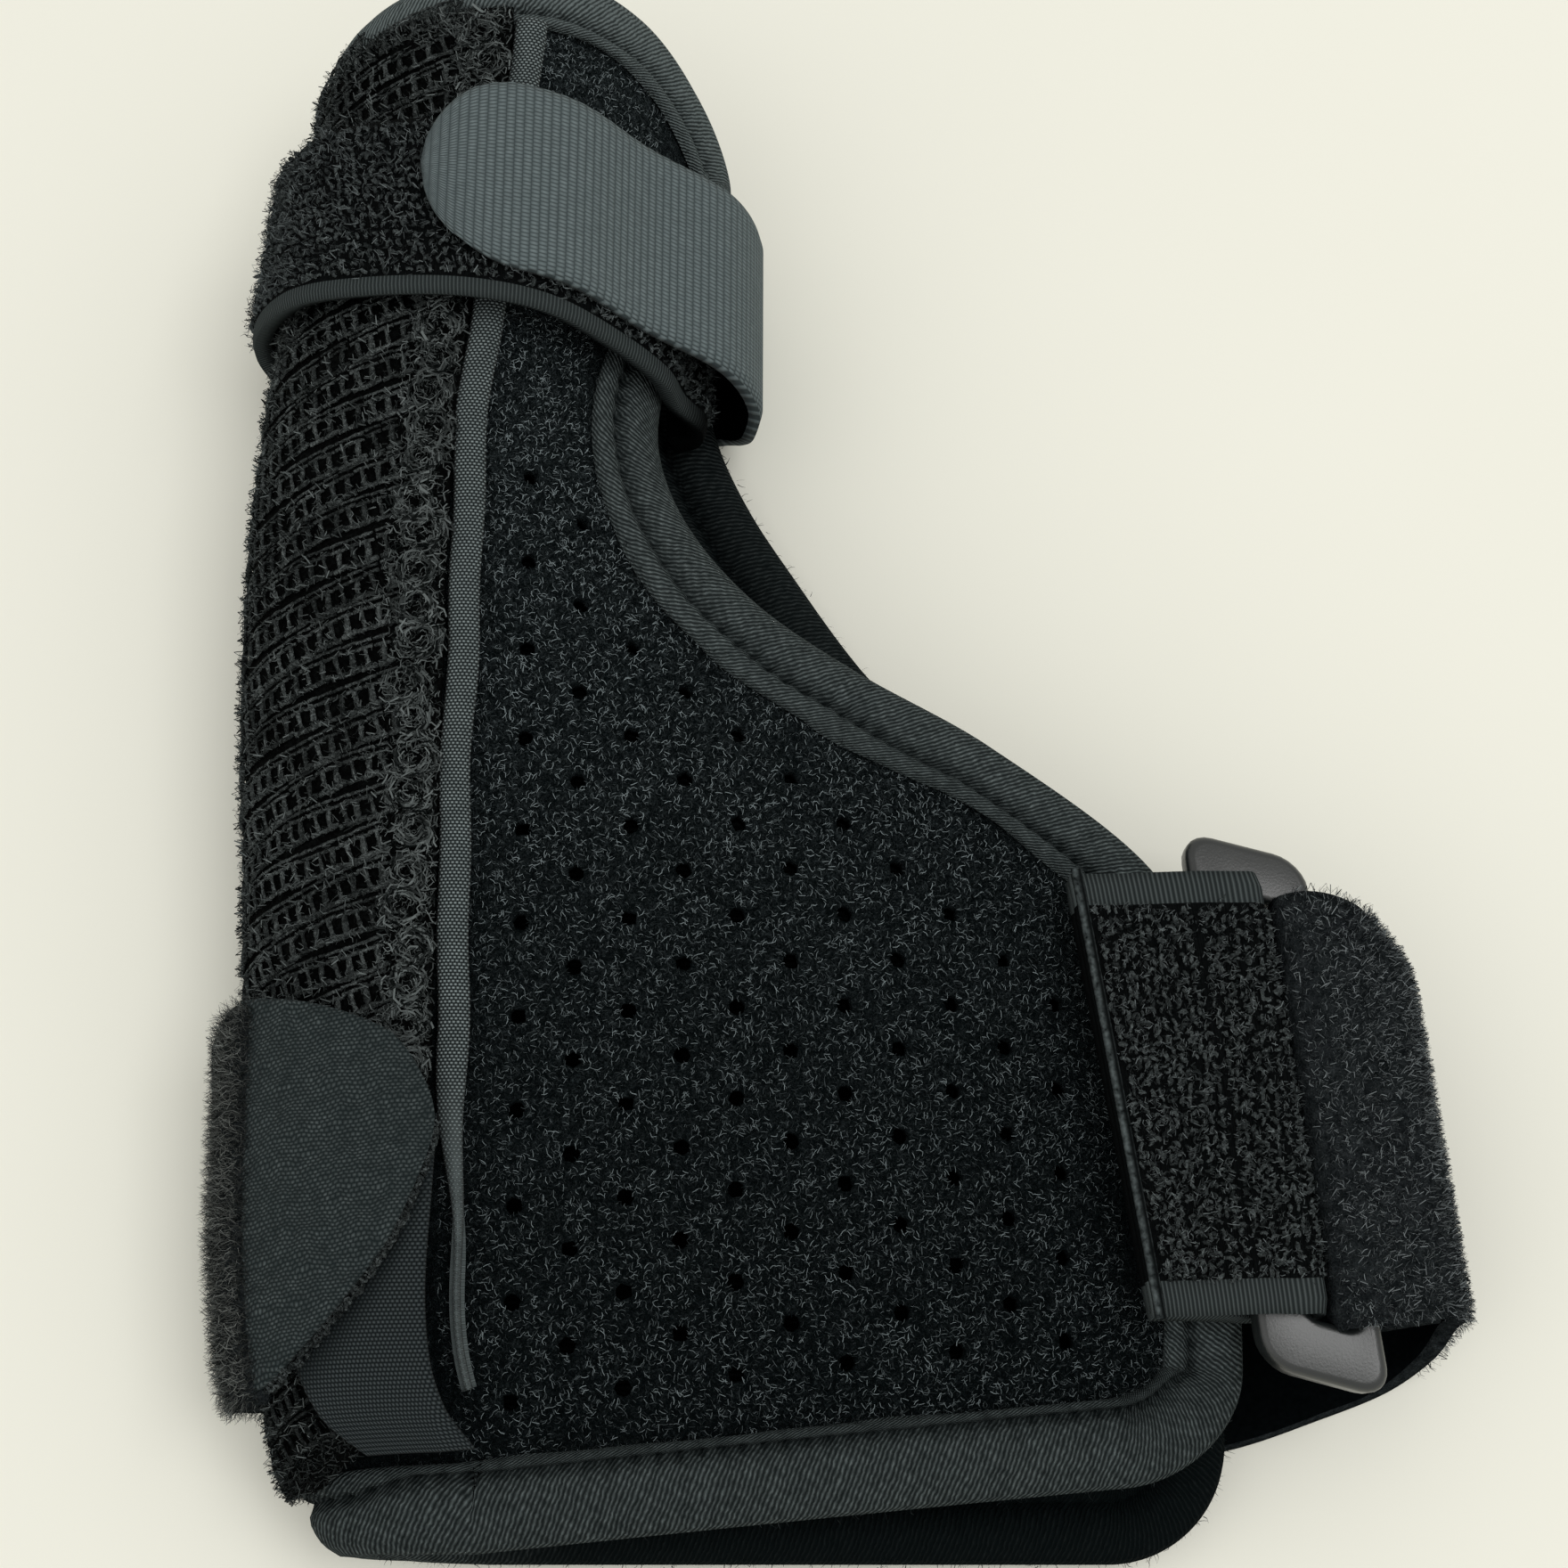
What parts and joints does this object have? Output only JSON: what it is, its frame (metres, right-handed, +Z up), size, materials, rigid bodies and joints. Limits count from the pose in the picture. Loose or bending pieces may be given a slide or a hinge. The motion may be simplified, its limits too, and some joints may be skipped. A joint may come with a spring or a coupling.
{
  "type": "wrist and thumb splint",
  "caption": "Soft wrist and thumb splint: perforated loop-pile wrap with bound edges, a ribbed pocket on its fold, a strap round the thumb and a wrist strap through a plastic ring.",
  "frame": {"origin": "on the table, under the middle of the whole outline", "axes": "+X across the hand towards the ring, +Y along the fold towards the thumb tip, +Z up from the table"},
  "size_m": [0.1362, 0.1786, 0.0442],
  "materials": {
    "loop_pile": "short looped pile",
    "binding_tape": "fine twill tape",
    "ribbed_knit": "cross-ribbed knit",
    "grey_tape": "fine knitted tape",
    "terry_strap": "looped webbing",
    "hook_backing": "ribbed woven backing",
    "ring_plastic": "satin moulding",
    "plush_strap": "fuzzy looped webbing",
    "tab_knit": "smooth fine knit"
  },
  "bodies": {
    "root": {"body_shell": "loop_pile", "edge_binding": "binding_tape", "stay_pocket": "ribbed_knit", "seam_tape": "grey_tape", "hem_tape": "grey_tape", "thumb_band": "terry_strap", "thumb_tab": "hook_backing", "ring_tab": "terry_strap", "ring": "ring_plastic", "wrist_strap": "plush_strap", "wrist_tab": "tab_knit"}
  },
  "joints": []
}
